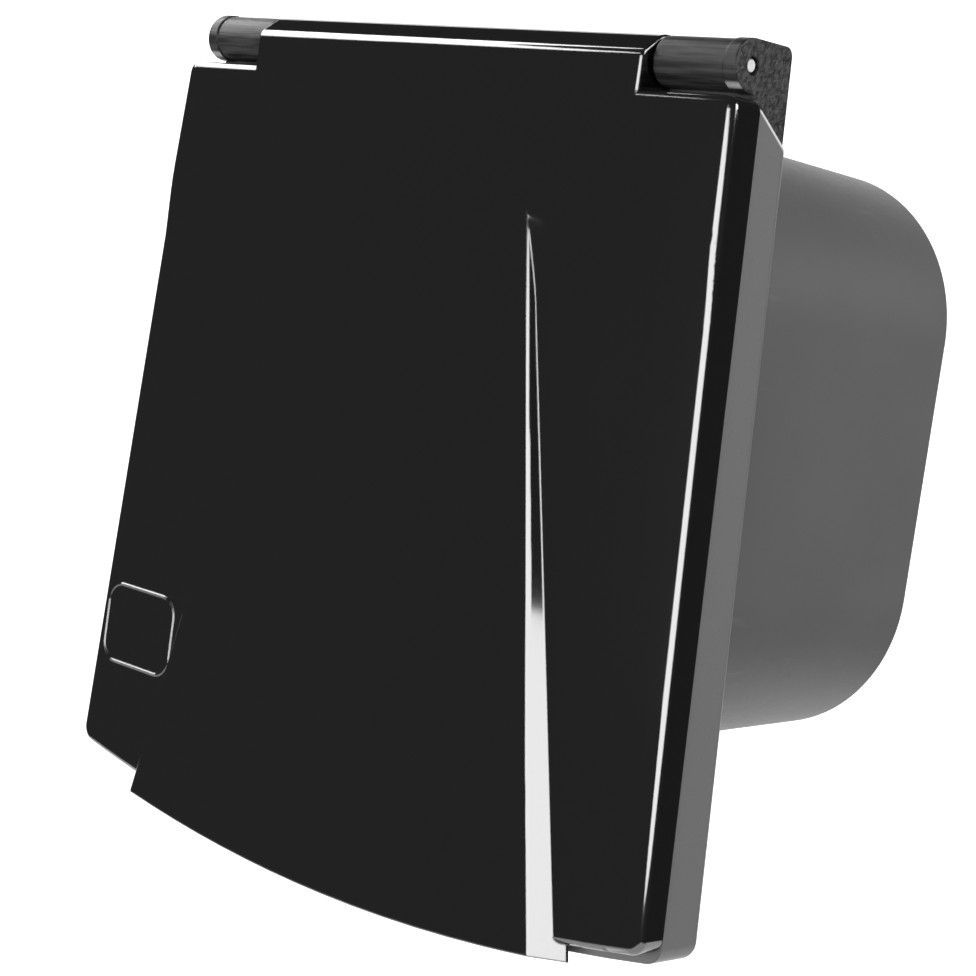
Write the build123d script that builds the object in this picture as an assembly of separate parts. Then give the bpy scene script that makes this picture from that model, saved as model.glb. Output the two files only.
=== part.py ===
from build123d import *
from math import cos, radians, sin, tan
import os

# Outdoor flush socket with a sprung flip lid, for the wall of a caravan.
# The origin is the centre of the wall cut-out, on the wall's outer face.
# +Y goes into the wall, +Z is up, and a depth is a distance in front of the wall.

# Lid outline, seen from the front
LID_WIDTH_TOP = 102.1
LID_WIDTH_BOTTOM = 112.7
SHOULDER_Z = 43.85
LID_BOTTOM_Z = -58.5
LID_BOTTOM_SAG = 5.7
LID_CORNER_TOP = 1.6
LID_CORNER_BOTTOM = 2.4

# Lid surfaces, as depths in front of the wall
SPLIT_DEPTH = 6.8
SPLIT_SLOPE = 0.0118
UPPER_DEPTH = 11.9
PANEL_SLOPE = 0.0192
WING_DEPTH = 11.8
DROP_TOP_Z = 28.5
DROP_BOTTOM_Z = 16.5
LID_WALL = 2.0
LID_EDGE = 0.9

# Raised wedge panel in the middle of the lid
APEX_HALF = 20.87
PANEL_BOTTOM_HALF = 40.5
PANEL_BELOW_LID = 4.5
PANEL_SAG = 3.0
PANEL_DRAFT = 48.0
PANEL_EDGE = 0.9
PANEL_TOP_Z = 34.0
OVERHANG_THICK = 3.4
GRIP_HALF = 36.0

# Raised outline of a small blank field on the lower left wing
FIELD_WIDE = 15.7
FIELD_HIGH = 11.9
FIELD_CORNER = 3.0
FIELD_LINE = 0.3
FIELD_PROUD = 0.12
FIELD_SIDE_GAP = 1.4
FIELD_RISE = 12.6

# Hinge
HINGE_DEPTH = 7.3
HINGE_Z = 47.86
PIN_RADIUS = 0.9
PIN_RUNNING = 0.05
PIN_SINK = 0.3
PIN_EYE_RADIUS = 1.1
PIN_EYE_DEEP = 2.0
BARREL_RADIUS = 3.3
BARREL_STEP = 0.15
EAR_PLATE = 2.0
EAR_EDGE = 0.4
EAR_INSET = 1.45
EAR_BACK_CORNER = 1.2
KNUCKLE_HALF = 36.0
KNUCKLE_GAP = 0.45
KNUCKLE_RADIUS = 3.25
KNUCKLE_CORNER = 1.2
KNUCKLE_SWING = 5.15
KNUCKLE_WEB = 2.0
KNUCKLE_END = 0.4
SWING_GAP = 0.25

# Mounting frame
FRAME_BELOW_LID = 1.5
FRAME_BOTTOM_SAG = 5.8
FRAME_REVEAL = 0.3
FRAME_WALL = 2.2
FRAME_PLATE = 4.0
FRAME_BACK_EDGE = 1.6
LID_GAP = 0.25
SKIRT_CUT_TOP_Z = 43.1
SKIRT_CUT_BACK_Z = 38.2
FIX_EDGE = 7.05
FIX_TOP_DROP = 7.85
FIX_BOTTOM_RISE = 8.0
FIX_HOLE_RADIUS = 2.2
FRAME_TIP_CORNER = 0.5
SKIRT_OVERLAP = 4.0

# Wall gasket, let into the back of the frame
GASKET_THICK = 0.8
GASKET_MARGIN = 3.0
GASKET_BOX_GAP = 0.8
GASKET_HOLE_GAP = 0.5
GASKET_CORNER = 2.0

# Socket insert
INSERT_SIDE = 52.0
INSERT_CORNER = 8.0
INSERT_FACE = 7.0
INSERT_FLANGE = 2.0
INSERT_FIT = 0.3
COLLAR_WALL = 2.5
COLLAR_DEPTH = 8.0
RECESS_RADIUS = 19.75
RECESS_DEEP = 17.5
RECESS_LIP = 0.8
CUP_WALL = 2.0
CUP_FLOOR = 2.0
CUP_CLEAR = 0.75
GUIDE_WIDE = 5.4
GUIDE_HIGH = 1.9
PIN_HOLE_RADIUS = 2.6
PIN_HOLE_SPACING = 19.0
INSERT_SCREW_AT = 20.5
FLANGE_EDGE = 0.5
CUP_SINK = 0.6
SCREW_PROUD = 1.0

# Rotary safety shutter behind the recess floor
SHUTTER_THICK = 1.2
SHUTTER_GAP = 0.3
SHUTTER_RADIUS = 13.8
SHUTTER_HUB = 4.2
SHUTTER_PIVOT = 2.0
SHUTTER_RUNNING = 0.05
SHUTTER_HALF_ANGLE = 19.0
COVER_THICK = 1.5

# Contacts and their carrier
BASE_SIDE = 34.0
BASE_CORNER = 3.0
BASE_DEEP = 18.2
CONTACT_OUTER = 2.95
CONTACT_BORE = 2.45
CONTACT_STEP = 0.6
CONTACT_TUBE = 13.6
CONTACT_SLIT = 0.6
CONTACT_SLIT_SHARE = 0.6
WIRE_HOLE_AT = 3.0
BLOCK_X = 7.0
BLOCK_Z = 8.0
BLOCK_PROUD = 4.0
WIRE_HOLE = 1.4
EARTH_WIDE = 5.0
EARTH_THICK = 0.8
EARTH_SLOT_GAP = 0.3
EARTH_CLIP_HALF = 17.9
EARTH_HALF = 19.2
BASE_SCREW_AT = 13.0
TERMINAL_LONG = 7.0
BLOCK_SCREW_LONG = 5.0
SCREW_TIP_GAP = 0.2
HEAD_GAP = 0.1

# Screws
SCREW_RADIUS = 1.5
SCREW_HEAD = 2.8
SCREW_HEAD_HIGH = 1.8
SMALL_SCREW_RADIUS = 1.25
SMALL_SCREW_HEAD = 2.4
SMALL_SCREW_HEAD_HIGH = 1.2
DRIVE_WIDE = 0.6
DRIVE_DEEP = 0.6

# Back box
BOX_HALF_REAR = 40.6
BOX_CORNER_REAR = 22.3
BOX_GROWTH = 2.35
BOX_DEEP = 56.5
BOX_WALL = 2.6
BOX_REAR_EDGE = 1.5
BOX_BOSS_AT = 31.5
BOX_BOSS_RADIUS = 3.4
BOX_BOSS_LONG = 14.0
BOX_BOSS_END = 2.0
BOX_SEAL_WIDE = 1.2
BOX_SEAL_DEEP = 1.0

# Cable entry in the rear wall, and the clamp behind it
ENTRY_Z = -22.0
ENTRY_BORE = 4.0
GROMMET_NECK = 8.0
GROMMET_FLANGE = 10.5
GROMMET_LIP = 1.6
GROMMET_STEP = 1.0
GROMMET_EDGE = 0.6
LIP_GAP = 0.3
LEDGE_HALF = 14.0
LEDGE_THICK = 3.0
LEDGE_LONG = 14.0
CLAMP_HALF = 13.0
CLAMP_WIDE = 6.0
CLAMP_HIGH = 10.0
CLAMP_BORE_GAP = 0.2
CLAMP_SCREW_AT = 9.5
CLAMP_EDGE = 2.0
CLAMP_SEAT_GAP = 1.0

# Rubber seal in the lid
SEAL_WIDE = 2.4
SEAL_DEEP = 1.75
SEAL_BOSS_WALL = 1.6
SEAL_BOSS_DEPTH = 8.7

# Lid spring
SPRING_WIRE = 0.6
SPRING_RADIUS = 1.95
SPRING_LONG = 14.4
SPRING_TURNS = 12.5
SPRING_POCKET_GAP = 0.25
SPRING_POCKET_END = 1.6
SPRING_LEG = 2.2
SPRING_LEG_LAP = 0.3
SPRING_LEG_GROW = 0.03

SMALLEST_CORNER = 0.5

PANEL_BOTTOM_Z = LID_BOTTOM_Z - PANEL_BELOW_LID
FRAME_BOTTOM_Z = LID_BOTTOM_Z - FRAME_BELOW_LID
SEAL_HALF = INSERT_SIDE / 2 + INSERT_FIT + COLLAR_WALL / 2 + SEAL_WIDE / 2
SEAL_CORNER = INSERT_CORNER + COLLAR_WALL
SEAL_GROOVE = SEAL_DEEP - (SEAL_BOSS_DEPTH - COLLAR_DEPTH - LID_GAP)
FLARE = (LID_WIDTH_BOTTOM - LID_WIDTH_TOP) / 2 / (SHOULDER_Z - LID_BOTTOM_Z)
EAR_TOP_Z = HINGE_Z + BARREL_RADIUS
HINGE_Y = -HINGE_DEPTH
FLOOR_Y = -INSERT_FACE + RECESS_DEEP
CHAMBER_Y = FLOOR_Y + CUP_FLOOR
SHUTTER_Y = CHAMBER_Y + SHUTTER_GAP
COVER_Y = SHUTTER_Y + SHUTTER_THICK + SHUTTER_GAP
BASE_Y = COVER_Y + COVER_THICK
BASE_END_Y = BASE_Y + BASE_DEEP
CONTACT_Y = BASE_Y + CONTACT_STEP
BLOCK_Y = CONTACT_Y + CONTACT_TUBE
BLOCK_END_Y = BASE_END_Y + BLOCK_PROUD
STEP_DEPTH = INSERT_FACE - INSERT_FLANGE
COLLAR_INNER = INSERT_SIDE / 2 + INSERT_FIT
COLLAR_OUTER = COLLAR_INNER + COLLAR_WALL
CUP_OUTER = RECESS_RADIUS + CUP_WALL
POCKET_Z = HINGE_Z - KNUCKLE_SWING - SWING_GAP
BAR_DEPTH = HINGE_DEPTH - KNUCKLE_SWING - SWING_GAP
REACH = 200.0


def half_width(z):
    """Half the width of the lid at height z."""
    return LID_WIDTH_TOP / 2 + (SHOULDER_Z - z) * FLARE


def split_depth(z):
    """Depth of the joint line between lid and frame."""
    return SPLIT_DEPTH + (SHOULDER_Z - z) * SPLIT_SLOPE


def panel_depth(z):
    """Depth of the wedge panel, and of the lid's upper face, which it continues."""
    return UPPER_DEPTH + (SHOULDER_Z - z) * PANEL_SLOPE


def panel_half(z):
    """Half the width of the panel's front at height z."""
    spread = (PANEL_BOTTOM_HALF - APEX_HALF) / (DROP_TOP_Z - PANEL_BOTTOM_Z)
    return APEX_HALF + (DROP_TOP_Z - z) * spread


def slab(sketch, front_depth, back_depth):
    """A sketch in X and Z, made solid between two depths."""
    flat = Plane.XZ.offset(back_depth) * sketch
    return extrude(flat, front_depth - back_depth, dir=(0, -1, 0))


def beam_of(face, half_length=REACH / 2):
    """A face in Y and Z, made solid along X."""
    return extrude(Plane.YZ.offset(-half_length) * face, 2 * half_length, dir=(1, 0, 0))


def beam(points, half_length=REACH / 2):
    """A closed outline in Y and Z, made solid along X."""
    return beam_of(make_face(Polyline(*points, close=True)), half_length)


def rod(radius, y_from, y_to, x=0.0, z=0.0):
    """A cylinder along Y."""
    return Plane.XZ.offset(-y_to) * Pos(x, z) * Cylinder(
        radius, y_to - y_from, align=(Align.CENTER, Align.CENTER, Align.MIN)
    )


def axle(radius, x_from, x_to, y=HINGE_Y, z=HINGE_Z):
    """A cylinder along X."""
    return Plane.YZ.offset(x_from) * Pos(y, z) * Cylinder(
        radius, x_to - x_from, align=(Align.CENTER, Align.CENTER, Align.MIN)
    )


def post(radius, z_from, z_to, x, y):
    """A cylinder along Z."""
    return Pos(x, y, z_from) * Cylinder(
        radius, z_to - z_from, align=(Align.CENTER, Align.CENTER, Align.MIN)
    )


def block(x_from, x_to, y_from, y_to, z_from, z_to):
    """A plain box between two corners."""
    return Pos((x_from + x_to) / 2, (y_from + y_to) / 2, (z_from + z_to) / 2) * Box(
        x_to - x_from, y_to - y_from, z_to - z_from
    )


def shield(inset, top_z, bottom_z, sag, top_corner, bottom_corner):
    """The flared outline with a bowed bottom edge, moved in by inset at its sides."""
    top = half_width(top_z) - inset
    bottom = half_width(bottom_z) - inset
    sides = Polyline((-bottom, bottom_z), (-top, top_z), (top, top_z), (bottom, bottom_z))
    bow = ThreePointArc((bottom, bottom_z), (0, bottom_z - sag), (-bottom, bottom_z))
    face = make_face([sides, bow])
    face = fillet(face.vertices().sort_by(Axis.Y)[-2:], top_corner)
    return fillet(face.vertices().sort_by(Axis.Y)[:2], bottom_corner)


def ring(outer_half, inner_half, corner):
    """A square ring with round corners."""
    inner_corner = max(corner - (outer_half - inner_half), SMALLEST_CORNER)
    outer = RectangleRounded(2 * outer_half, 2 * outer_half, corner)
    return outer - RectangleRounded(2 * inner_half, 2 * inner_half, inner_corner)


def screw(radius, long, head_radius, head_high):
    """A pan head screw with a cross recess, its head's seat at z = 0, pointing down."""
    shank = Pos(0, 0, -long) * Cylinder(
        radius, long, align=(Align.CENTER, Align.CENTER, Align.MIN)
    )
    head = Cylinder(head_radius, head_high, align=(Align.CENTER, Align.CENTER, Align.MIN))
    head = fillet(head.edges().sort_by(Axis.Z)[-1], head_high * 0.4)
    for turn in (0, 90):
        slot = Box(head_radius * 1.2, DRIVE_WIDE, 2 * DRIVE_DEEP)
        head -= Pos(0, 0, head_high) * Rot(0, 0, turn) * slot
    return shank + head


# Lid

def lid_outline(inset=0.0):
    corner = max(LID_CORNER_TOP - inset, SMALLEST_CORNER)
    top_inset = LID_WALL + 0.5 if inset else 0.0
    return shield(
        inset,
        SHOULDER_Z - top_inset,
        LID_BOTTOM_Z + inset,
        LID_BOTTOM_SAG,
        corner,
        max(LID_CORNER_BOTTOM - inset, SMALLEST_CORNER),
    )


def wing_profile(inset, back_depth):
    """Side view of the lid without its panel: upper face, a soft drop, then the wings."""
    low = LID_BOTTOM_Z - 4 * LID_BOTTOM_SAG
    upper = Line(
        (-panel_depth(SHOULDER_Z) + inset, SHOULDER_Z),
        (-panel_depth(DROP_TOP_Z) + inset, DROP_TOP_Z),
    )
    third = (DROP_TOP_Z - DROP_BOTTOM_Z) / 3
    drop = Bezier(
        (-panel_depth(DROP_TOP_Z) + inset, DROP_TOP_Z),
        (-panel_depth(DROP_TOP_Z - third) + inset, DROP_TOP_Z - third),
        (-WING_DEPTH + inset, DROP_BOTTOM_Z + third),
        (-WING_DEPTH + inset, DROP_BOTTOM_Z),
    )
    rest = Polyline(
        (-WING_DEPTH + inset, DROP_BOTTOM_Z),
        (-WING_DEPTH + inset, low),
        (-back_depth(low), low),
        (-back_depth(SHOULDER_Z), SHOULDER_Z),
        (-panel_depth(SHOULDER_Z) + inset, SHOULDER_Z),
    )
    return beam_of(make_face([upper, drop, rest]))


def on_front(edge):
    """True for an edge round the front of the lid, not one across it."""
    centre = edge.center()
    for corner in edge.vertices():
        z = corner.Z
        deep = panel_depth(z) if z > DROP_TOP_Z - 0.01 else WING_DEPTH
        if abs(corner.Y + deep) > 0.02:
            return False
    across = abs(centre.X) < 1 and DROP_BOTTOM_Z - 1 < centre.Z < DROP_TOP_Z + 1
    return not across


def panel_wedge(inset):
    """The raised panel with its drafted side walls, or the hollow inside it."""
    front = panel_depth(PANEL_BOTTOM_Z) + 1
    back = SPLIT_DEPTH - 1
    draft = tan(radians(PANEL_DRAFT))
    spread = panel_half(PANEL_BOTTOM_Z) - panel_half(PANEL_TOP_Z)
    lean = (panel_depth(PANEL_BOTTOM_Z) - panel_depth(PANEL_TOP_Z)) * draft

    def outline(depth):
        top = panel_half(PANEL_TOP_Z) - (depth - panel_depth(PANEL_TOP_Z)) * draft - inset
        bottom = top + spread + lean
        corner = (bottom, PANEL_BOTTOM_Z)
        mirrored = (-bottom, PANEL_BOTTOM_Z)
        sides = Polyline(mirrored, (-top, PANEL_TOP_Z), (top, PANEL_TOP_Z), corner)
        bow = ThreePointArc(corner, (0, PANEL_BOTTOM_Z - PANEL_SAG), mirrored)
        return Plane.XZ.offset(depth) * make_face([sides, bow])

    wedge = loft([outline(back), outline(front)], ruled=True)
    low = PANEL_BOTTOM_Z - 4 * PANEL_SAG
    between = beam([
        (-panel_depth(SHOULDER_Z) + inset, SHOULDER_Z),
        (-panel_depth(low) + inset, low),
        (-split_depth(low), low),
        (-split_depth(SHOULDER_Z), SHOULDER_Z),
    ])
    return wedge & between


def on_panel_edge(edge):
    """True for the two long edges along the panel's front."""
    centre = edge.center()
    return abs(centre.Y + panel_depth(centre.Z)) < 0.01 and abs(centre.X) > APEX_HALF / 2


def panel():
    wedge = panel_wedge(0)
    return fillet(wedge.edges().filter_by(on_panel_edge), PANEL_EDGE)


def behind_overhang():
    """The room behind the panel's lower end, which is only a lip in front of the frame."""
    low = PANEL_BOTTOM_Z - 4 * PANEL_SAG
    room = beam([
        (-panel_depth(low) + OVERHANG_THICK, low),
        (-panel_depth(0) + OVERHANG_THICK, 0),
        (0, 0),
        (0, low),
    ], PANEL_BOTTOM_HALF + UPPER_DEPTH)
    return room - slab(lid_outline(), 2 * UPPER_DEPTH, -1)


def field_place():
    """Centre of the blank field, tied to the lid's left edge and its bottom corner."""
    z = LID_BOTTOM_Z + FIELD_RISE + FIELD_HIGH / 2
    return -half_width(z) + FIELD_SIDE_GAP + FIELD_WIDE / 2, z


def field_line():
    outer = RectangleRounded(FIELD_WIDE, FIELD_HIGH, FIELD_CORNER)
    thin = 2 * FIELD_LINE
    outer -= RectangleRounded(FIELD_WIDE - thin, FIELD_HIGH - thin, FIELD_CORNER - FIELD_LINE)
    return slab(Pos(*field_place()) * outer, WING_DEPTH + FIELD_PROUD, WING_DEPTH - LID_WALL / 2)


def knuckle():
    """The long middle knuckle: the lid's face ends in a soft corner and slopes back over the pin."""
    corner = Pos(-UPPER_DEPTH + KNUCKLE_CORNER, HINGE_Z) * Circle(KNUCKLE_CORNER)
    roll = Pos(HINGE_Y, HINGE_Z) * Circle(KNUCKLE_RADIUS)
    profile = make_hull(corner.edges() + roll.edges())
    low = SHOULDER_Z - KNUCKLE_WEB
    web = make_face(Polyline(
        (-UPPER_DEPTH, HINGE_Z),
        (HINGE_Y, HINGE_Z),
        (HINGE_Y, low),
        (-panel_depth(low), low),
        (-UPPER_DEPTH, SHOULDER_Z),
        close=True,
    ))
    body = beam_of(profile + web, KNUCKLE_HALF)
    for end in (body.faces().sort_by(Axis.X)[0], body.faces().sort_by(Axis.X)[-1]):
        high = end.edges().filter_by(lambda edge: edge.center().Z > SHOULDER_Z)
        body = fillet(high, KNUCKLE_END)
    return body


def spring_pocket():
    reach = SPRING_LONG / 2 + SPRING_POCKET_END
    radius = SPRING_RADIUS + SPRING_WIRE / 2 + SPRING_POCKET_GAP
    pocket = axle(radius, -reach, reach)
    pocket += block(-reach, reach, HINGE_Y, 0, HINGE_Z - radius, HINGE_Z + radius)
    slot = SPRING_WIRE / 2 + SPRING_POCKET_GAP
    leg_z = HINGE_Z - SPRING_RADIUS
    return pocket + block(
        SPRING_LONG / 2 - slot,
        SPRING_LONG / 2 + slot,
        HINGE_Y - SPRING_LEG - SPRING_POCKET_GAP,
        HINGE_Y,
        leg_z - slot,
        leg_z + slot,
    )


def lid():
    wings = slab(lid_outline(), 2 * UPPER_DEPTH, 0) & wing_profile(0, split_depth)
    wings = fillet(wings.edges().filter_by(on_front), LID_EDGE)
    outer = wings + panel() - behind_overhang() + field_line() + knuckle()

    hollow = slab(lid_outline(LID_WALL), 2 * UPPER_DEPTH, 0)
    room = hollow & wing_profile(LID_WALL, lambda z: 0)
    room += hollow & panel_wedge(LID_WALL)
    room += hollow & slab(lid_outline(LID_WALL), SPLIT_DEPTH + 1, 0)
    boss = slab(
        ring(SEAL_HALF + SEAL_BOSS_WALL, SEAL_HALF - SEAL_WIDE - SEAL_BOSS_WALL, SEAL_CORNER),
        2 * UPPER_DEPTH,
        SEAL_BOSS_DEPTH,
    )
    body = outer - room + (boss & outer)

    low = PANEL_BOTTOM_Z - 4 * PANEL_SAG
    high = LID_BOTTOM_Z + LID_WALL + 1
    grip = beam([
        (-panel_depth(high) + LID_WALL, high),
        (-panel_depth(low) + LID_WALL, low),
        (0, low),
        (0, high),
    ], GRIP_HALF)
    body -= grip
    body -= slab(seal_ring(), SEAL_BOSS_DEPTH + SEAL_GROOVE, 0)
    body -= axle(PIN_RADIUS + PIN_RUNNING, -REACH / 2, REACH / 2)
    body -= spring_pocket()
    return body


def seal_ring():
    return ring(SEAL_HALF, SEAL_HALF - SEAL_WIDE, SEAL_CORNER)


def lid_seal():
    return slab(seal_ring(), SEAL_BOSS_DEPTH + SEAL_GROOVE, COLLAR_DEPTH + LID_GAP)


# Mounting frame

def frame_outline(inset=0.0, top_z=SKIRT_CUT_TOP_Z):
    corner = max(LID_CORNER_BOTTOM - inset, SMALLEST_CORNER)
    return shield(
        FRAME_REVEAL + inset,
        top_z,
        FRAME_BOTTOM_Z + inset,
        FRAME_BOTTOM_SAG,
        FRAME_TIP_CORNER,
        corner,
    )


def frame_front(z):
    return split_depth(z) - LID_GAP


def skirt():
    """The outer wall of the frame; its upper end is cut off on a slant."""
    low = FRAME_BOTTOM_Z - 4 * FRAME_BOTTOM_SAG
    profile = beam([
        (0, low),
        (0, SKIRT_CUT_BACK_Z),
        (-frame_front(SKIRT_CUT_TOP_Z), SKIRT_CUT_TOP_Z),
        (-frame_front(low), low),
    ])
    body = slab(frame_outline(), 2 * SPLIT_DEPTH, 0) & profile
    back = body.edges().filter_by(lambda e: abs(e.center().Y) < 0.01 and e.center().Z < FRAME_BOTTOM_Z)
    return fillet(back, FRAME_BACK_EDGE)


def ear_side(radius):
    """Side view of the frame's upper end, with a barrel of this radius."""
    low = SKIRT_CUT_BACK_Z - SKIRT_OVERLAP
    side = make_face(Polyline(
        (0, low),
        (0, HINGE_Z + radius),
        (HINGE_Y, HINGE_Z + radius),
        (HINGE_Y, HINGE_Z - radius),
        (-frame_front(SHOULDER_Z), HINGE_Z - radius),
        (-frame_front(low), low),
        close=True,
    ))
    side = fillet(side.vertices().group_by(Axis.Y)[-1].sort_by(Axis.X)[-1], EAR_BACK_CORNER)
    return side + Pos(HINGE_Y, HINGE_Z) * Circle(radius)


def ears():
    """Two fixed barrels with slightly larger end plates, narrower than the skirt."""
    outline = shield(
        EAR_INSET,
        EAR_TOP_Z + 2 * FRAME_TIP_CORNER,
        FRAME_BOTTOM_Z / 2,
        FRAME_BOTTOM_SAG,
        FRAME_TIP_CORNER,
        FRAME_TIP_CORNER,
    )
    whole = slab(outline, 2 * HINGE_DEPTH, 0)
    between = half_width(HINGE_Z) - EAR_INSET - EAR_PLATE
    plates = whole & beam_of(ear_side(BARREL_RADIUS))
    for face in (plates.faces().sort_by(Axis.X)[-1], plates.faces().sort_by(Axis.X)[0]):
        high = face.edges().filter_by(lambda edge: edge.center().Z > HINGE_Z - BARREL_RADIUS / 2)
        plates = fillet(high, EAR_EDGE)
    plates -= block(-between, between, -REACH, REACH, -REACH, REACH)
    return plates + (whole & beam_of(ear_side(BARREL_RADIUS - BARREL_STEP)))


def mounting_frame():
    body = skirt() + ears()
    trough = frame_outline(FRAME_WALL, POCKET_Z - FRAME_WALL)
    body -= slab(trough, 2 * HINGE_DEPTH, FRAME_PLATE)
    pocket = KNUCKLE_HALF + KNUCKLE_GAP
    body -= block(-pocket, pocket, -2 * HINGE_DEPTH, -BAR_DEPTH, POCKET_Z, EAR_TOP_Z + 1)

    corner = INSERT_CORNER + COLLAR_WALL
    body += slab(RectangleRounded(2 * COLLAR_OUTER, 2 * COLLAR_OUTER, corner), COLLAR_DEPTH, 0)
    well = RectangleRounded(2 * COLLAR_INNER, 2 * COLLAR_INNER, INSERT_CORNER)
    body -= slab(well, COLLAR_DEPTH + 1, STEP_DEPTH)
    body -= rod(CUP_OUTER + CUP_CLEAR, -REACH / 2, REACH / 2)

    for x, z in fixing_places():
        body -= rod(FIX_HOLE_RADIUS, -FRAME_PLATE - 1, 1, x, z)
    for x, z in box_screw_places():
        body -= rod(SCREW_RADIUS, -FRAME_PLATE - 1, 1, x, z)
    for x, z in insert_screw_places():
        body -= rod(SMALL_SCREW_RADIUS, -STEP_DEPTH - 1, 1, x, z)
    body -= slab(gasket_outline(0), GASKET_THICK, -1)

    ear_face = half_width(HINGE_Z) - EAR_INSET
    body -= axle(PIN_RADIUS, -ear_face - 1, ear_face + 1)
    body -= axle(PIN_EYE_RADIUS, ear_face - PIN_EYE_DEEP, ear_face + 1)
    body -= axle(PIN_EYE_RADIUS, -ear_face - 1, -ear_face + PIN_EYE_DEEP)
    return body


def fixing_places():
    half = LID_WIDTH_TOP / 2 - FIX_EDGE
    heights = (SHOULDER_Z - FIX_TOP_DROP, FRAME_BOTTOM_Z + FIX_BOTTOM_RISE)
    return [(x, z) for x in (-half, half) for z in heights]


def box_screw_places():
    return [(x, z) for x in (-BOX_BOSS_AT, BOX_BOSS_AT) for z in (-BOX_BOSS_AT, BOX_BOSS_AT)]


def insert_screw_places():
    return [(-INSERT_SCREW_AT, INSERT_SCREW_AT), (INSERT_SCREW_AT, -INSERT_SCREW_AT)]


def base_screw_places():
    return [(-BASE_SCREW_AT, -BASE_SCREW_AT), (BASE_SCREW_AT, BASE_SCREW_AT)]


def gasket_outline(hole_radius):
    outline = shield(
        FRAME_REVEAL + GASKET_MARGIN,
        EAR_TOP_Z - GASKET_MARGIN,
        FRAME_BOTTOM_Z + GASKET_MARGIN,
        FRAME_BOTTOM_SAG,
        GASKET_CORNER,
        GASKET_CORNER,
    )
    front = BOX_HALF_REAR + BOX_GROWTH + GASKET_BOX_GAP
    corner = BOX_CORNER_REAR + BOX_GROWTH + GASKET_BOX_GAP
    outline -= RectangleRounded(2 * front, 2 * front, corner)
    for x, z in fixing_places() if hole_radius else ():
        outline -= Pos(x, z) * Circle(hole_radius)
    return outline


def wall_gasket():
    return slab(gasket_outline(FIX_HOLE_RADIUS + GASKET_HOLE_GAP), GASKET_THICK, 0)


def hinge_pin():
    reach = half_width(HINGE_Z) - EAR_INSET - PIN_SINK
    pin = axle(PIN_RADIUS, -reach, reach)
    return chamfer(pin.edges().filter_by(GeomType.CIRCLE), PIN_RADIUS * 0.2)


def lid_spring():
    """Torsion spring round the pin; its upper leg rests on the frame, its lower one in the lid."""
    helix = Helix(SPRING_LONG / SPRING_TURNS, SPRING_LONG, SPRING_RADIUS)
    profile = Plane(origin=helix @ 0, z_dir=helix % 0) * Circle(SPRING_WIRE / 2)
    coil = sweep(profile, path=helix, is_frenet=True)
    coil = Pos(-SPRING_LONG / 2, HINGE_Y, HINGE_Z) * Rot(0, 90, 0) * Rot(0, 0, 180) * coil
    wire = SPRING_WIRE / 2 + SPRING_LEG_GROW
    half = SPRING_LONG / 2
    top = HINGE_Z + SPRING_RADIUS
    bottom = HINGE_Z - SPRING_RADIUS
    frame_leg = rod(wire, HINGE_Y - SPRING_LEG_LAP, -BAR_DEPTH, -half, top)
    lid_leg = rod(wire, HINGE_Y - SPRING_LEG, HINGE_Y + SPRING_LEG_LAP, half, bottom)
    return coil + frame_leg + lid_leg


# Socket insert

def earth_slot():
    """The room for the earth strap, at the top and at the bottom of the cup."""
    half = EARTH_WIDE / 2 + EARTH_SLOT_GAP
    low = EARTH_CLIP_HALF - EARTH_THICK - EARTH_SLOT_GAP
    high = EARTH_HALF + EARTH_THICK + EARTH_SLOT_GAP
    front = -INSERT_FACE + INSERT_FLANGE
    up = block(-half, half, front, BASE_Y + 1, low, high)
    return up + mirror(up, Plane.XY)


def socket_body():
    flange = RectangleRounded(INSERT_SIDE, INSERT_SIDE, INSERT_CORNER)
    body = slab(flange, INSERT_FACE, STEP_DEPTH)
    body = fillet(body.faces().sort_by(Axis.Y)[0].edges(), FLANGE_EDGE)
    body += rod(CUP_OUTER, -INSERT_FACE + CUP_SINK, BASE_Y)
    recess = rod(RECESS_RADIUS, -INSERT_FACE - 1, FLOOR_Y)
    body -= recess
    lip = body.faces().sort_by(Axis.Y)[0].inner_wires()[0].edges()
    body = fillet(lip, RECESS_LIP)
    rib = block(
        -CUP_OUTER + 0.5,
        CUP_OUTER - 0.5,
        -INSERT_FACE + 2 * RECESS_LIP,
        FLOOR_Y,
        -GUIDE_WIDE / 2,
        GUIDE_WIDE / 2,
    )
    body += rib - rod(RECESS_RADIUS - GUIDE_HIGH, -REACH / 2, REACH / 2)
    body -= rod(RECESS_RADIUS, CHAMBER_Y, BASE_Y + 1)
    body -= earth_slot()
    for side in (-1, 1):
        body -= rod(PIN_HOLE_RADIUS, FLOOR_Y - 1, CHAMBER_Y + 1, side * PIN_HOLE_SPACING / 2)
    body += rod(SHUTTER_PIVOT, FLOOR_Y + 1, COVER_Y)
    for x, z in base_screw_places():
        boss = rod(SMALL_SCREW_HEAD, FLOOR_Y + 1, COVER_Y, x, z)
        body += boss & rod(RECESS_RADIUS + 0.5, FLOOR_Y, BASE_Y)
        body -= rod(SMALL_SCREW_RADIUS, FLOOR_Y + 1, COVER_Y + 1, x, z)
    for x, z in insert_screw_places():
        body -= rod(SMALL_SCREW_RADIUS, -INSERT_FACE - 1, 0, x, z)
        seat_y = -INSERT_FACE + SMALL_SCREW_HEAD_HIGH
        body -= rod(SMALL_SCREW_HEAD + HEAD_GAP, -INSERT_FACE - 1, seat_y, x, z)
    return body


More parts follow.
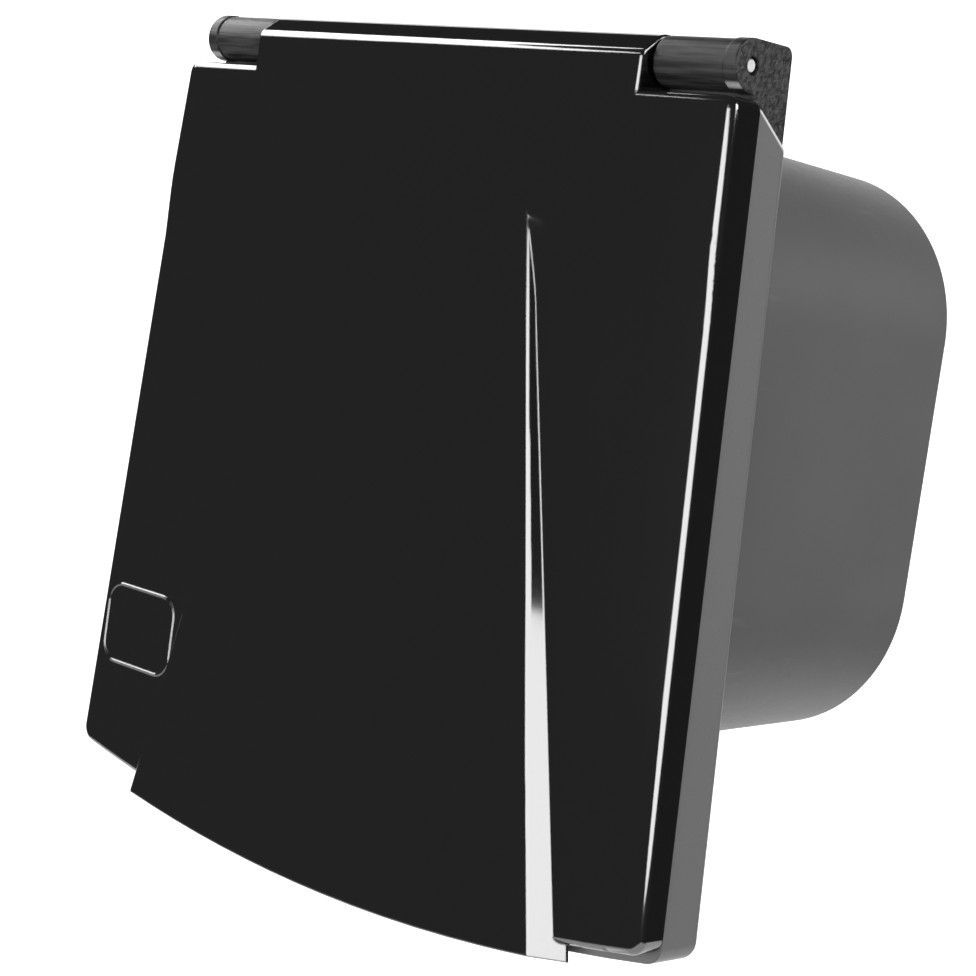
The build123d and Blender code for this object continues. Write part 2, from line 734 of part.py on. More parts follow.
def shutter():
    """Hub with two blades; turned, it moves the blades off the pin holes."""
    flat = Circle(SHUTTER_HUB)
    spread = radians(SHUTTER_HALF_ANGLE)
    for side in (0, 180):
        rim_x = SHUTTER_RADIUS * cos(spread)
        rim_z = SHUTTER_RADIUS * sin(spread)
        blade = make_face([
            Polyline((rim_x, -rim_z), (0, 0), (rim_x, rim_z)),
            ThreePointArc((rim_x, rim_z), (SHUTTER_RADIUS, 0), (rim_x, -rim_z)),
        ])
        flat += Rot(0, 0, side) * blade
    flat -= Circle(SHUTTER_PIVOT + SHUTTER_RUNNING)
    return slab(flat, -SHUTTER_Y, -SHUTTER_Y - SHUTTER_THICK)


def shutter_cover():
    body = rod(RECESS_RADIUS, COVER_Y, BASE_Y)
    body -= earth_slot()
    for side in (-1, 1):
        body -= rod(PIN_HOLE_RADIUS, COVER_Y - 1, BASE_Y + 1, side * PIN_HOLE_SPACING / 2)
    for x, z in base_screw_places():
        body -= rod(SMALL_SCREW_RADIUS, COVER_Y - 1, BASE_Y + 1, x, z)
    return body


# Contacts

def terminal_base():
    side = RectangleRounded(BASE_SIDE, BASE_SIDE, BASE_CORNER)
    body = slab(side, -BASE_Y, -BASE_END_Y)
    for side in (-1, 1):
        x = side * PIN_HOLE_SPACING / 2
        body -= rod(PIN_HOLE_RADIUS, BASE_Y - 1, CONTACT_Y, x)
        body -= rod(CONTACT_OUTER, CONTACT_Y, BLOCK_Y, x)
        body -= block(
            x - BLOCK_X / 2, x + BLOCK_X / 2, BLOCK_Y, BASE_END_Y + 1, -BLOCK_Z / 2, BLOCK_Z / 2
        )
    for x, z in base_screw_places():
        body -= rod(SMALL_SCREW_RADIUS, BASE_Y - 1, BASE_END_Y + 1, x, z)
        seat_y = BASE_END_Y - SMALL_SCREW_HEAD_HIGH
        body -= rod(SMALL_SCREW_HEAD + HEAD_GAP, seat_y, BASE_END_Y + 1, x, z)
    body -= rod(SMALL_SCREW_RADIUS, BASE_END_Y - TERMINAL_LONG, BASE_END_Y + 1)
    return body


def contact(side):
    """Brass tube that grips the plug's pin, with its terminal block."""
    x = side * PIN_HOLE_SPACING / 2
    body = rod(CONTACT_OUTER, CONTACT_Y, BLOCK_Y, x)
    body += block(
        x - BLOCK_X / 2, x + BLOCK_X / 2, BLOCK_Y, BLOCK_END_Y, -BLOCK_Z / 2, BLOCK_Z / 2
    )
    body -= rod(CONTACT_BORE, CONTACT_Y - 1, BLOCK_Y - 1, x)
    slit_end = CONTACT_Y + CONTACT_TUBE * CONTACT_SLIT_SHARE
    half_slit = CONTACT_SLIT / 2
    body -= block(
        x - half_slit, x + half_slit, CONTACT_Y - 1, slit_end, -CONTACT_OUTER - 1, CONTACT_OUTER + 1
    )
    body -= post(WIRE_HOLE, -BLOCK_Z, BLOCK_Z, x, BLOCK_END_Y - WIRE_HOLE_AT)
    body -= rod(SMALL_SCREW_RADIUS, BLOCK_END_Y - BLOCK_SCREW_LONG, BLOCK_END_Y + 1, x)
    return body


def earth_strap():
    """One bent strip: a sprung clip at the top and at the bottom of the recess."""
    thick = EARTH_THICK
    clip_y = -INSERT_FACE + RECESS_DEEP * 0.5
    upper = [
        (-INSERT_FACE + INSERT_FLANGE + 1, EARTH_HALF),
        (clip_y, EARTH_CLIP_HALF),
        (FLOOR_Y, EARTH_HALF),
        (BASE_END_Y + thick, EARTH_HALF),
    ]
    outer = [(y, z + thick) for y, z in upper]
    lower_outer = [(y, -z) for y, z in reversed(outer)]
    inner = upper[:3] + [(BASE_END_Y, EARTH_HALF)]
    lower_inner = [(y, -z) for y, z in reversed(inner)]
    strip = beam(outer + lower_outer + list(reversed(lower_inner)) + list(reversed(inner)),
                 EARTH_WIDE / 2)
    return strip - rod(SMALL_SCREW_RADIUS, BASE_END_Y - 1, BASE_END_Y + 2)


# Back box and cable entry

def box_tub(inset, y_from, y_to):
    """The box's drafted body; inset moves its walls in."""
    def outline(y):
        grow = BOX_GROWTH * (1 - y / BOX_DEEP) - inset
        side = 2 * (BOX_HALF_REAR + grow)
        return Plane.XZ.offset(-y) * RectangleRounded(side, side, BOX_CORNER_REAR + grow)
    return loft([outline(y_from), outline(y_to)], ruled=True)


def back_box():
    body = box_tub(0, 0, BOX_DEEP)
    body = fillet(body.faces().sort_by(Axis.Y)[-1].edges(), BOX_REAR_EDGE)
    tub = box_tub(BOX_WALL, -1, BOX_DEEP - BOX_WALL)
    body -= tub
    inner_y = BOX_DEEP - BOX_WALL
    ledge_top = ENTRY_Z - ENTRY_BORE - CLAMP_SEAT_GAP
    body += block(
        -LEDGE_HALF, LEDGE_HALF, inner_y - LEDGE_LONG, inner_y + 0.5,
        ledge_top - LEDGE_THICK, ledge_top,
    )
    lip_room = rod(GROMMET_FLANGE, inner_y - GROMMET_LIP - LIP_GAP, inner_y, 0, ENTRY_Z)
    body -= lip_room
    for x, z in box_screw_places():
        body += rod(BOX_BOSS_RADIUS, 0, BOX_BOSS_LONG, x, z)
        body -= rod(SCREW_RADIUS, -1, BOX_BOSS_LONG - BOX_BOSS_END, x, z)
    body -= slab(rim_groove(), 1, -BOX_SEAL_DEEP)
    body -= rod(GROMMET_NECK, inner_y - 1, BOX_DEEP + 1, 0, ENTRY_Z)
    for x in (-CLAMP_SCREW_AT, CLAMP_SCREW_AT):
        y = inner_y - LEDGE_LONG / 2
        body -= post(SMALL_SCREW_RADIUS, ledge_top - LEDGE_THICK - 1, ledge_top + 1, x, y)
    return body


def rim_groove():
    """The seal's place, in the middle of the box's rim."""
    inset = (BOX_WALL - BOX_SEAL_WIDE) / 2
    outer = BOX_HALF_REAR + BOX_GROWTH - inset
    return ring(outer, outer - BOX_SEAL_WIDE, BOX_CORNER_REAR + BOX_GROWTH - inset)


def box_seal():
    return slab(rim_groove(), 0, -BOX_SEAL_DEEP)


def cable_grommet():
    inner_y = BOX_DEEP - BOX_WALL
    body = rod(GROMMET_NECK, inner_y, BOX_DEEP, 0, ENTRY_Z)
    body += rod(GROMMET_FLANGE, BOX_DEEP, BOX_DEEP + GROMMET_LIP, 0, ENTRY_Z)
    body += rod(GROMMET_FLANGE - GROMMET_STEP, inner_y - GROMMET_LIP, inner_y, 0, ENTRY_Z)
    body = fillet(body.faces().sort_by(Axis.Y)[-1].edges(), GROMMET_EDGE)
    return body - rod(ENTRY_BORE, inner_y - 5, BOX_DEEP + 5, 0, ENTRY_Z)


def cord_clamp():
    inner_y = BOX_DEEP - BOX_WALL
    y = inner_y - LEDGE_LONG / 2
    seat = ENTRY_Z - ENTRY_BORE - CLAMP_SEAT_GAP
    body = block(
        -CLAMP_HALF, CLAMP_HALF, y - CLAMP_WIDE / 2, y + CLAMP_WIDE / 2, seat, seat + CLAMP_HIGH
    )
    body = fillet(body.edges().filter_by(Axis.Y).group_by(Axis.Z)[-1], CLAMP_EDGE)
    radius = ENTRY_BORE + CLAMP_BORE_GAP
    body -= rod(radius, y - CLAMP_WIDE, y + CLAMP_WIDE, 0, ENTRY_Z)
    body -= block(-radius, radius, y - CLAMP_WIDE, y + CLAMP_WIDE, seat - 1, ENTRY_Z)
    for x in (-CLAMP_SCREW_AT, CLAMP_SCREW_AT):
        body -= post(SMALL_SCREW_RADIUS, seat - 1, seat + CLAMP_HIGH + 1, x, y)
    return body


# Fasteners

def facing_front(shape, x, y, z):
    """A screw put in from the front, its head's seat at y."""
    return Pos(x, y, z) * Rot(90, 0, 0) * shape


def facing_rear(shape, x, y, z):
    """A screw put in from behind."""
    return Pos(x, y, z) * Rot(-90, 0, 0) * shape


def box_screws():
    long = FRAME_PLATE + BOX_BOSS_LONG - BOX_BOSS_END - SCREW_TIP_GAP
    shape = screw(SCREW_RADIUS, long, SCREW_HEAD, SCREW_HEAD_HIGH)
    return [facing_front(shape, x, -FRAME_PLATE, z) for x, z in box_screw_places()]


def small_screw(long):
    return screw(SMALL_SCREW_RADIUS, long, SMALL_SCREW_HEAD, SMALL_SCREW_HEAD_HIGH)


def insert_screws():
    seat_y = -INSERT_FACE + SMALL_SCREW_HEAD_HIGH
    shape = small_screw(SCREW_PROUD - seat_y)
    return [facing_front(shape, x, seat_y, z) for x, z in insert_screw_places()]


def base_screws():
    seat_y = BASE_END_Y - SMALL_SCREW_HEAD_HIGH
    shape = small_screw(seat_y - FLOOR_Y - SCREW_PROUD - SCREW_TIP_GAP)
    return [facing_rear(shape, x, seat_y, z) for x, z in base_screw_places()]


def terminal_screws():
    shape = small_screw(BLOCK_SCREW_LONG - SCREW_TIP_GAP)
    half = PIN_HOLE_SPACING / 2
    made = [facing_rear(shape, x, BLOCK_END_Y, 0) for x in (-half, half)]
    earth = small_screw(TERMINAL_LONG - SCREW_TIP_GAP)
    return made + [facing_rear(earth, 0, BASE_END_Y + EARTH_THICK, 0)]


def clamp_screws():
    y = BOX_DEEP - BOX_WALL - LEDGE_LONG / 2
    seat = ENTRY_Z - ENTRY_BORE - CLAMP_SEAT_GAP
    shape = small_screw(CLAMP_HIGH + LEDGE_THICK)
    return [Pos(x, y, seat + CLAMP_HIGH) * shape for x in (-CLAMP_SCREW_AT, CLAMP_SCREW_AT)]


PIECES = {
    "mounting_frame": mounting_frame,
    "wall_gasket": wall_gasket,
    "back_box": back_box,
    "box_seal": box_seal,
    "box_screws": box_screws,
    "socket_body": socket_body,
    "insert_screws": insert_screws,
    "shutter_cover": shutter_cover,
    "terminal_base": terminal_base,
    "contact_left": lambda: contact(-1),
    "contact_right": lambda: contact(1),
    "earth_strap": earth_strap,
    "terminal_screws": terminal_screws,
    "base_screws": base_screws,
    "cable_grommet": cable_grommet,
    "cord_clamp": cord_clamp,
    "clamp_screws": clamp_screws,
    "hinge_pin": hinge_pin,
    "lid_spring": lid_spring,
    "lid": lid,
    "lid_seal": lid_seal,
    "shutter": shutter,
}

os.makedirs("parts", exist_ok=True)
for name, make in PIECES.items():
    made = make()
    shape = Compound(children=made) if isinstance(made, list) else made
    export_step(shape, f"parts/{name}.step")
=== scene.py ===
from math import cos, pi, sin

import bpy
from mathutils import Matrix, Vector


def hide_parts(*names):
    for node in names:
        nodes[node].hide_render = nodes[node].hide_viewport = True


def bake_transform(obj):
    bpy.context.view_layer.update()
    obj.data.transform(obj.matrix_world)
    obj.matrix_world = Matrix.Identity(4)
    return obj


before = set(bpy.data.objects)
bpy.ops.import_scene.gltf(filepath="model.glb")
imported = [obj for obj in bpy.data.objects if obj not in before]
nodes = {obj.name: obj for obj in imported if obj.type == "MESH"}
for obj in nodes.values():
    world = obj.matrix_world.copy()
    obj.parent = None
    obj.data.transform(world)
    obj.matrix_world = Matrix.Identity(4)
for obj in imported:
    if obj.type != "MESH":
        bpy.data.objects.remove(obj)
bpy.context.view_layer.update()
scene = bpy.context.scene
scene.view_settings.view_transform = "Standard"

# The view: a long lens from the object's right front, a little above its middle, with the
# camera turned a few degrees about its own axis, as the picture was taken.
EYE = Vector((0.2279, -0.2295, 0.0193))
AIM = Vector((0.0093, 0.0, -0.0092))
ROLL = 0.14212
LENS_MM = 87.38
SENSOR_MM = 36.0

lens = bpy.data.cameras.new("camera")
lens.lens = LENS_MM
lens.sensor_width = SENSOR_MM
lens.clip_start = 0.01
camera = bpy.data.objects.new("camera", lens)
backward = (EYE - AIM).normalized()
sideways = Vector((0, 0, 1)).cross(backward).normalized()
upright = Matrix((sideways, backward.cross(sideways), backward)).transposed().to_4x4()
camera.matrix_world = Matrix.Translation(EYE) @ upright @ Matrix.Rotation(ROLL, 4, "Z")
scene.collection.objects.link(camera)
scene.camera = camera

# The flip lid: one glossy black moulding with a wedge panel and a long knuckle over the hinge
# pin. Its polish is near mirror smooth, with a faint ripple, fine wipe marks and a little dust.
# Its side faces are painted darker than its front: painted shade.


class Wire:
    """A number that varies over a surface, for plain sums in a finish."""

    def __init__(self, finish, socket):
        self.finish = finish
        self.socket = socket

    def maths(self, operation, first, second):
        return self.finish.maths(operation, first, second)

    def __add__(self, other):
        return self.maths("ADD", self, other)

    def __radd__(self, other):
        return self.maths("ADD", other, self)

    def __sub__(self, other):
        return self.maths("SUBTRACT", self, other)

    def __rsub__(self, other):
        return self.maths("SUBTRACT", other, self)

    def __mul__(self, other):
        return self.maths("MULTIPLY", self, other)

    def __rmul__(self, other):
        return self.maths("MULTIPLY", other, self)

    def between(self, low, high):
        """0 where the number is at low or under, 1 at high or over, smooth between."""
        made = self.finish.node(
            "ShaderNodeMapRange",
            {"interpolation_type": "SMOOTHSTEP"},
            {"Value": self, "From Min": low, "From Max": high},
        )
        return Wire(self.finish, made.outputs["Result"])


class Finish:
    """One material of the socket, built from its object coordinates."""

    def __init__(self, name, slot, **shader):
        self.slot = slot
        self.material = bpy.data.materials.new(name)
        self.material.use_nodes = True
        self.tree = self.material.node_tree
        self.tree.nodes.clear()
        settings = {
            key.replace("_", " ").title().replace("Ior", "IOR"): value
            for key, value in shader.items()
        }
        self.shader = self.node("ShaderNodeBsdfPrincipled", {}, settings)
        self.surface = self.node("ShaderNodeOutputMaterial", {}, {}).inputs["Surface"]
        self.plug(self.surface, self.shader.outputs[0])
        self.place = self.node("ShaderNodeTexCoord", {}, {}).outputs["Object"]

    def node(self, kind, settings, inputs):
        """A node of any kind, with its settings first and then its sockets' values or links."""
        made = self.tree.nodes.new(kind)
        for key, value in settings.items():
            setattr(made, key, value)
        for key, value in inputs.items():
            self.plug(made.inputs[key], value)
        return made

    def plug(self, socket, value):
        if isinstance(value, Wire):
            value = value.socket
        if isinstance(value, bpy.types.NodeSocket):
            self.tree.links.new(value, socket)
        else:
            socket.default_value = value

    def maths(self, operation, first, second):
        made = self.node("ShaderNodeMath", {"operation": operation}, {0: first, 1: second})
        return Wire(self, made.outputs[0])

    def noise(self, size, stretch=(1, 1, 1), detail=4.0, rough=0.55):
        """Noise from 0 to 1 whose features measure about size metres."""
        place = self.node("ShaderNodeMapping", {}, {"Vector": self.place, "Scale": stretch})
        made = self.node(
            "ShaderNodeTexNoise",
            {},
            {
                "Vector": place.outputs[0],
                "Scale": 1 / size,
                "Detail": detail,
                "Roughness": rough,
            },
        )
        return Wire(self, made.outputs[0])

    def axis(self, letter):
        """The height along one axis of the object, in metres."""
        made = self.node("ShaderNodeSeparateXYZ", {}, {"Vector": self.place})
        return Wire(self, made.outputs[letter])

    def colour(self, share, dark, light):
        """A colour between two others, where share runs from 0 to 1."""
        ends = [(*end, 1) if isinstance(end, tuple) else end for end in (dark, light)]
        inputs = {"Factor": share, 6: ends[0], 7: ends[1]}
        return self.node("ShaderNodeMix", {"data_type": "RGBA"}, inputs).outputs[2]

    def relief(self, height, depth, corner=0.0):
        """Fine relief: height from 0 to 1, depth in metres, over corners softened by a radius."""
        inputs = {"Height": height, "Distance": depth}
        if corner:
            soft = self.node("ShaderNodeBevel", {"samples": 6}, {"Radius": corner})
            inputs["Normal"] = soft.outputs[0]
        made = self.node("ShaderNodeBump", {}, inputs)
        self.plug(self.shader.inputs["Normal"], made.outputs[0])

    def set(self, name, value):
        self.plug(self.shader.inputs[name], value)


MERGE_WITHIN = 2e-6
SMOOTH_UP_TO = 0.5
FLAT_FACE_WEIGHT = 100


def smooth_moulding():
    """Geometry nodes that join a CAD mesh's loose triangles and shade it smooth up to an angle."""
    group = bpy.data.node_groups.new("smooth_moulding", "GeometryNodeTree")
    group.interface.new_socket("Geometry", in_out="INPUT", socket_type="NodeSocketGeometry")
    for name in ("Angle", "Concave Angle"):
        limit = group.interface.new_socket(name, in_out="INPUT", socket_type="NodeSocketFloat")
        limit.default_value = SMOOTH_UP_TO
    group.interface.new_socket("Geometry", in_out="OUTPUT", socket_type="NodeSocketGeometry")
    made = group.nodes.new
    link = group.links.new
    start = made("NodeGroupInput")
    merge = made("GeometryNodeMergeByDistance")
    merge.inputs["Distance"].default_value = MERGE_WITHIN
    faces = made("GeometryNodeSetShadeSmooth")
    angle = made("GeometryNodeInputMeshEdgeAngle")
    either = made("FunctionNodeBooleanMath")
    either.operation = "OR"
    pairs = (("Unsigned Angle", "Angle"), ("Signed Angle", "Concave Angle"))
    for place, (measured, limit) in enumerate(pairs):
        sharp = made("FunctionNodeCompare")
        sharp.operation = "GREATER_THAN"
        link(angle.outputs[measured], sharp.inputs["A"])
        link(start.outputs[limit], sharp.inputs["B"])
        link(sharp.outputs["Result"], either.inputs[place])
    edges = made("GeometryNodeSetShadeSmooth")
    edges.domain = "EDGE"
    edges.inputs["Shade Smooth"].default_value = False
    end = made("NodeGroupOutput")
    link(start.outputs["Geometry"], merge.inputs["Geometry"])
    link(merge.outputs["Geometry"], faces.inputs["Geometry"])
    link(faces.outputs["Geometry"], edges.inputs["Geometry"])
    link(either.outputs[0], edges.inputs["Selection"])
    link(edges.outputs["Geometry"], end.inputs["Geometry"])
    return group


MOULDING = smooth_moulding()
moulding_inputs = {item.name: item.identifier for item in MOULDING.interface.items_tree}
CONCAVE = moulding_inputs["Concave Angle"]


def dress(node, finish, concave=SMOOTH_UP_TO):
    """Gives a CAD node its finish, with its curved faces smooth and its flat ones truly flat."""
    piece = nodes[node]
    piece.data.materials.clear()
    piece.data.materials.append(finish.material)
    smooth = piece.modifiers.new("smooth_moulding", "NODES")
    smooth.node_group = MOULDING
    smooth[CONCAVE] = concave
    flat = piece.modifiers.new("flat_faces", "WEIGHTED_NORMAL")
    flat.keep_sharp = True
    flat.weight = FLAT_FACE_WEIGHT


LID_FRONT_Y = -0.0117
LID_SIDE_Y = -0.011


def polished_black():
    finish = Finish("polished_black", "gloss_black", ior=1.6, specular_ior_level=1.0)
    wipe = finish.noise(0.004, stretch=(1, 1, 0.15))
    haze = finish.noise(0.03)
    finish.set("Roughness", 0.03 + 0.05 * wipe * haze)
    speck = finish.noise(0.0006, detail=2.0).between(0.74, 0.8)
    # Painted shade: the lid's side faces get a darker base colour than its front, standing in for
    # the dark room they reflect.
    painted_side_shade = finish.axis("Y").between(LID_FRONT_Y, LID_SIDE_Y)
    plain = finish.colour(painted_side_shade, (0.0068, 0.0068, 0.007), (0.003, 0.003, 0.0031))
    finish.set("Base Color", finish.colour(speck, plain, (0.02, 0.02, 0.02)))
    finish.relief(finish.noise(0.012, detail=1.0), 0.000002, corner=0.0003)
    return finish


dress("lid", polished_black(), concave=0.06)

# The seal in the lid, the ring under the box rim, the wall gasket and the cable entry: soft
# black rubber and foam with a matt, slightly dusty skin.


def rubber(name, slot, grain):
    finish = Finish(name, slot, base_color=(0.02, 0.02, 0.02, 1), roughness=0.75)
    dust = finish.noise(0.002)
    finish.set("Base Color", finish.colour(dust, (0.014, 0.014, 0.014), (0.035, 0.034, 0.032)))
    finish.set("Roughness", 0.65 + 0.2 * dust)
    finish.relief(finish.noise(grain, detail=3.0), grain * 0.12)
    return finish


seal_rubber = rubber("seal_rubber", "seal_rubber", 0.0002)
for node in ("lid_seal", "box_seal", "cable_grommet"):
    dress(node, seal_rubber)
dress("wall_gasket", rubber("foam", "foam", 0.0006))

# The mounting frame: one black moulding. Its skirt is smooth, and its greyer colour is painted
# sheen;
# the hinge barrels are drawn out along their length, and the ear ends have the grain of the tool.
# Pale lines along the ears' slanted foot and the skirt's back edge are painted highlights.
EAR_SLOPE = 0.748
EAR_FOOT = 0.0382
EAR_BLUR = 0.0002
EAR_HIGHLIGHT_LINE = 0.0005
BACK_HIGHLIGHT_START = (-0.00065, -0.0005)
BACK_HIGHLIGHT_END = (-0.0001, 0.0)


def frame_plastic():
    finish = Finish("frame_plastic", "satin_black", specular_ior_level=0.16)
    streak = finish.noise(0.0007, stretch=(0.06, 1, 1))
    grain = finish.noise(0.0005)
    depth = finish.axis("Y")
    slant = finish.axis("Z") + EAR_SLOPE * depth
    hinge = slant.between(EAR_FOOT, EAR_FOOT + EAR_BLUR)
    # Painted highlight: thin pale lines painted along the ears' slanted foot and along the skirt's
    # back edge.
    highlight_start = EAR_FOOT - EAR_HIGHLIGHT_LINE
    slant_edge_highlight = slant.between(highlight_start, highlight_start + EAR_BLUR) - hinge
    back_edge_highlight = depth.between(*BACK_HIGHLIGHT_START) - depth.between(*BACK_HIGHLIGHT_END)
    painted_edge_highlight = finish.maths("MAXIMUM", slant_edge_highlight, back_edge_highlight - hinge)
    drawn = finish.colour(streak.between(0.35, 0.65), (0.008, 0.008, 0.008), (0.03, 0.03, 0.03))
    # Painted sheen: below the ears the skirt's base colour is lifted to 0.1, standing in for the
    # side lamp's sheen on it.
    plain = finish.colour(hinge, (0.1, 0.1, 0.1), drawn)
    finish.set("Base Color", finish.colour(painted_edge_highlight, plain, (0.45, 0.45, 0.45)))
    finish.set("Roughness", 0.24 + 0.1 * grain + hinge * (0.3 * streak - 0.08))
    finish.relief(streak * hinge + grain * 0.12, 0.00012, corner=0.0004)
    return finish


frame_finish = frame_plastic()
for node in ("mounting_frame", "cord_clamp"):
    dress(node, frame_finish)

# The back box: satin dark grey plastic straight from the tool, with fine specks and a few
# short scratches on its sides.


def box_plastic():
    finish = Finish("box_plastic", "box_black", specular_ior_level=0.2)
    cloud = finish.noise(0.02)
    grain = finish.noise(0.0006)
    scratch = finish.noise(0.0025, stretch=(1, 0.1, 1), detail=2.0).between(0.68, 0.8)
    speck = finish.noise(0.0008, detail=1.0).between(0.8, 0.83)
    worn = finish.maths("MAXIMUM", scratch, speck)
    plain = finish.colour(cloud, (0.066, 0.066, 0.066), (0.08, 0.08, 0.08))
    finish.set("Base Color", finish.colour(worn, plain, (0.1, 0.1, 0.1)))
    finish.set("Roughness", 0.34 + 0.12 * grain)
    finish.relief(grain, 0.00002)
    return finish


dress("back_box", box_plastic())

# The socket insert: matt black cup and the disc that closes it behind, and the pale moulded
# parts inside, the shutter and the block that carries the contacts.


def moulded(name, slot, dark, light):
    finish = Finish(name, slot)
    cloud = finish.noise(0.01)
    grain = finish.noise(0.0005)
    finish.set("Base Color", finish.colour(cloud, dark, light))
    finish.set("Roughness", 0.38 + 0.15 * grain)
    finish.relief(grain, 0.00002)
    return finish


insert_finish = moulded("insert_plastic", "insert_grey", (0.02, 0.02, 0.021), (0.028, 0.028, 0.029))
for node in ("socket_body", "shutter_cover"):
    dress(node, insert_finish)
dress("shutter", moulded("shutter_plastic", "shutter_white", (0.5, 0.5, 0.48), (0.6, 0.6, 0.57)))
dress("terminal_base", moulded("carrier", "carrier_white", (0.42, 0.42, 0.4), (0.5, 0.5, 0.47)))

# Metal: the steel hinge pin and lid spring, plated screws, and brass contacts and earth strap.


def metal(name, slot, dark, light, rough, stretch=(1, 1, 1)):
    finish = Finish(name, slot, metallic=1.0)
    streak = finish.noise(0.0004, stretch=stretch)
    stain = finish.noise(0.003)
    finish.set("Base Color", finish.colour(stain, dark, light))
    finish.set("Roughness", rough + 0.15 * streak)
    finish.relief(streak, 0.000008)
    return finish


steel = metal("pin_steel", "pin_steel", (0.4, 0.4, 0.4), (0.6, 0.6, 0.61), 0.35, (0.1, 1, 1))
plated = metal("plated_steel", "zinc_steel", (0.5, 0.5, 0.5), (0.62, 0.62, 0.63), 0.25)
brass = metal("brass", "brass", (0.6, 0.42, 0.18), (0.78, 0.58, 0.28), 0.25)
for node in ("hinge_pin", "lid_spring"):
    dress(node, steel)
for node in ("box_screws", "insert_screws", "terminal_screws", "base_screws", "clamp_screws"):
    dress(node, plated)
for node in ("contact_left", "contact_right", "earth_strap"):
    dress(node, brass)

# The lid's torsion spring: one steel wire wound round the pin. Its upper leg rests on the frame
# and its lower leg in the lid, so the coil winds up as the lid opens.
HINGE = Vector((0.0, -0.0073, 0.04786))
COIL_HALF = 0.0072
COIL_RADIUS = 0.00195
COIL_TURNS = 12.25
COIL_STEPS = 294
WIRE_RADIUS = 0.0003
WIRE_SIDES = 12
LEG_BACK = 0.0053
LEG_DOWN = 0.0021


def round_wire():
    """Geometry nodes that turn a line of points into a round wire with closed ends."""
    group = bpy.data.node_groups.new("round_wire", "GeometryNodeTree")
    group.interface.new_socket("Geometry", in_out="INPUT", socket_type="NodeSocketGeometry")
    group.interface.new_socket("Wire Radius", in_out="INPUT", socket_type="NodeSocketFloat")
    group.interface.new_socket("Material", in_out="INPUT", socket_type="NodeSocketMaterial")
    group.interface.new_socket("Geometry", in_out="OUTPUT", socket_type="NodeSocketGeometry")
    made = group.nodes.new
    link = group.links.new
    start = made("NodeGroupInput")
    path = made("GeometryNodeMeshToCurve")
    profile = made("GeometryNodeCurvePrimitiveCircle")
    profile.inputs["Resolution"].default_value = WIRE_SIDES
    swept = made("GeometryNodeCurveToMesh")
    swept.inputs["Fill Caps"].default_value = True
    real = made("GeometryNodeRealizeInstances")
    coat = made("GeometryNodeSetMaterial")
    end = made("NodeGroupOutput")
    link(start.outputs["Geometry"], path.inputs["Mesh"])
    link(path.outputs["Curve"], swept.inputs["Curve"])
    link(start.outputs["Wire Radius"], profile.inputs["Radius"])
    link(profile.outputs["Curve"], swept.inputs["Profile Curve"])
    link(swept.outputs["Mesh"], real.inputs["Geometry"])
    link(real.outputs["Geometry"], coat.inputs["Geometry"])
    link(start.outputs["Material"], coat.inputs["Material"])
    link(coat.outputs["Geometry"], end.inputs["Geometry"])
    return group


def coil_points():
    points = [HINGE + Vector((-COIL_HALF, LEG_BACK, COIL_RADIUS))]
    for step in range(COIL_STEPS + 1):
        share = step / COIL_STEPS
        turn = 2 * pi * COIL_TURNS * share
        round_axis = Vector((0, -COIL_RADIUS * sin(turn), COIL_RADIUS * cos(turn)))
        points.append(HINGE + Vector((COIL_HALF * (2 * share - 1), 0, 0)) + round_axis)
    return points + [points[-1] - Vector((0, 0, LEG_DOWN))]


def wire_piece(name, points, radius, finish):
    """A round wire along points, as a plain mesh with its finish."""
    line = bpy.data.meshes.new(name)
    line.from_pydata(points, [(at, at + 1) for at in range(len(points) - 1)], [])
    made = bpy.data.objects.new(name, line)
    scene.collection.objects.link(made)
    swept = made.modifiers.new("round_wire", "NODES")
    swept.node_group = round_wire()
    values = {"Wire Radius": radius, "Material": finish.material}
    for item in swept.node_group.interface.items_tree:
        if item.name in values:
            swept[item.identifier] = values[item.name]
    ready = made.evaluated_get(bpy.context.evaluated_depsgraph_get())
    made.data = bpy.data.meshes.new_from_object(ready)
    made.modifiers.clear()
    for face in made.data.polygons:
        face.use_smooth = len(face.vertices) == 4
    return made


coil = wire_piece("spring_coil", coil_points(), WIRE_RADIUS, steel)
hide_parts("lid_spring")
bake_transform(coil)

# The studio: a white floor and a white backdrop behind the object in a dim grey room, and soft
# lamps at its front, at its upper left and at its right, which draw the lines along the edges.
FLOOR_Z = -0.35
FLOOR_HALF = 0.6
BACKDROP_FAR = 1.2
BACKDROP_HALF = 0.9
ROOM_GREY = 0.045
CARD_GREY = (0.45, 0.45, 0.45, 1)
CARD_ROUGHNESS = 0.9


def backdrop_white(name, strength):
    """Pale card, lifted to white where the camera, metal or glass shows it."""
    finish = Finish(name, None, base_color=CARD_GREY, roughness=CARD_ROUGHNESS)
    bright = finish.node(
        "ShaderNodeBsdfPrincipled",
        {},
        {
            "Base Color": CARD_GREY,
            "Roughness": CARD_ROUGHNESS,
            "Emission Color": (1, 1, 1, 1),
            "Emission Strength": strength,
        },
    )
    seen = finish.node("ShaderNodeLightPath", {}, {})
    shown = Wire(finish, seen.outputs["Is Camera Ray"])
    for ray in ("Is Glossy Ray", "Is Transmission Ray"):
        shown = finish.maths("MAXIMUM", shown, seen.outputs[ray])
    pick = finish.node(
        "ShaderNodeMixShader", {}, {0: shown, 1: finish.shader.outputs[0], 2: bright.outputs[0]}
    )
    finish.plug(finish.surface, pick.outputs[0])
    return finish.material


def card(name, corners, material):
    """A flat stage piece through four corners."""
    sheet = bpy.data.meshes.new(name)
    sheet.from_pydata(corners, [], [(0, 1, 2, 3)])
    made = bpy.data.objects.new(name, sheet)
    made.data.materials.append(material)
    scene.collection.objects.link(made)


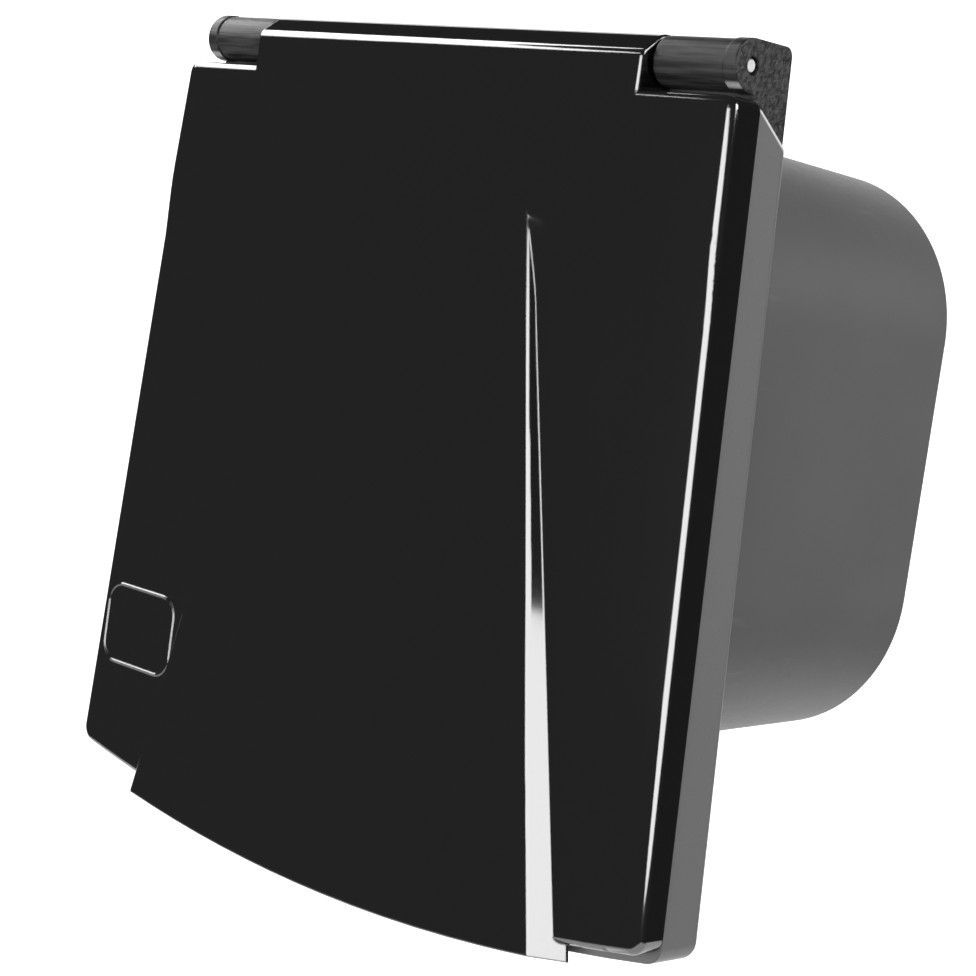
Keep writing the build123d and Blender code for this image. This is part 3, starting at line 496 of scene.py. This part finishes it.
signs = ((-1, -1), (1, -1), (1, 1), (-1, 1))
corners = [(x * FLOOR_HALF, y * FLOOR_HALF, FLOOR_Z) for x, y in signs]
card("floor", corners, backdrop_white("studio_floor", 0.92))
middle = AIM - backward * BACKDROP_FAR
corners = [middle + (sideways * x + Vector((0, 0, y))) * BACKDROP_HALF for x, y in signs]
card("backdrop", corners, backdrop_white("studio_backdrop", 0.95))


def surround():
    """White where the camera sees it, and an even grey room for everything else."""
    world = bpy.data.worlds.new("surround")
    scene.world = world
    world.use_nodes = True
    tree = world.node_tree
    tree.nodes.clear()
    out = tree.nodes.new("ShaderNodeOutputWorld")
    room = tree.nodes.new("ShaderNodeBackground")
    white = tree.nodes.new("ShaderNodeBackground")
    pick = tree.nodes.new("ShaderNodeMixShader")
    rays = tree.nodes.new("ShaderNodeLightPath")
    room.inputs["Strength"].default_value = ROOM_GREY
    white.inputs["Strength"].default_value = 1.0
    white.inputs["Color"].default_value = (1, 1, 1, 1)
    room.inputs["Color"].default_value = (1, 1, 1, 1)
    tree.links.new(rays.outputs["Is Camera Ray"], pick.inputs[0])
    tree.links.new(room.outputs[0], pick.inputs[1])
    tree.links.new(white.outputs[0], pick.inputs[2])
    tree.links.new(pick.outputs[0], out.inputs[0])


surround()


def lamp(name, place, width, height, power, along=(0, 0, 1)):
    """A soft lamp that faces the object, with its height turned along a direction."""
    light = bpy.data.lights.new(name, "AREA")
    light.shape = "RECTANGLE"
    light.size = width
    light.size_y = height
    light.energy = power
    made = bpy.data.objects.new(name, light)
    away = Vector(place).normalized()
    up = (Vector(along) - Vector(along).dot(away) * away).normalized()
    turn = Matrix((up.cross(away), up, away)).transposed().to_4x4()
    made.matrix_world = Matrix.Translation(place) @ turn
    scene.collection.objects.link(made)


lamp("front_strip", (0.1, -1.14, -0.03), 1.95, 0.52, 24.0)
lamp("top_left_sheet", (-1.2, -0.41, 0.8), 0.55, 1.5, 23.0, along=(0, 0.89, 0.454))
lamp("side_sheet", (1.2, 0.5, 0.62), 0.9, 0.7, 29.0)
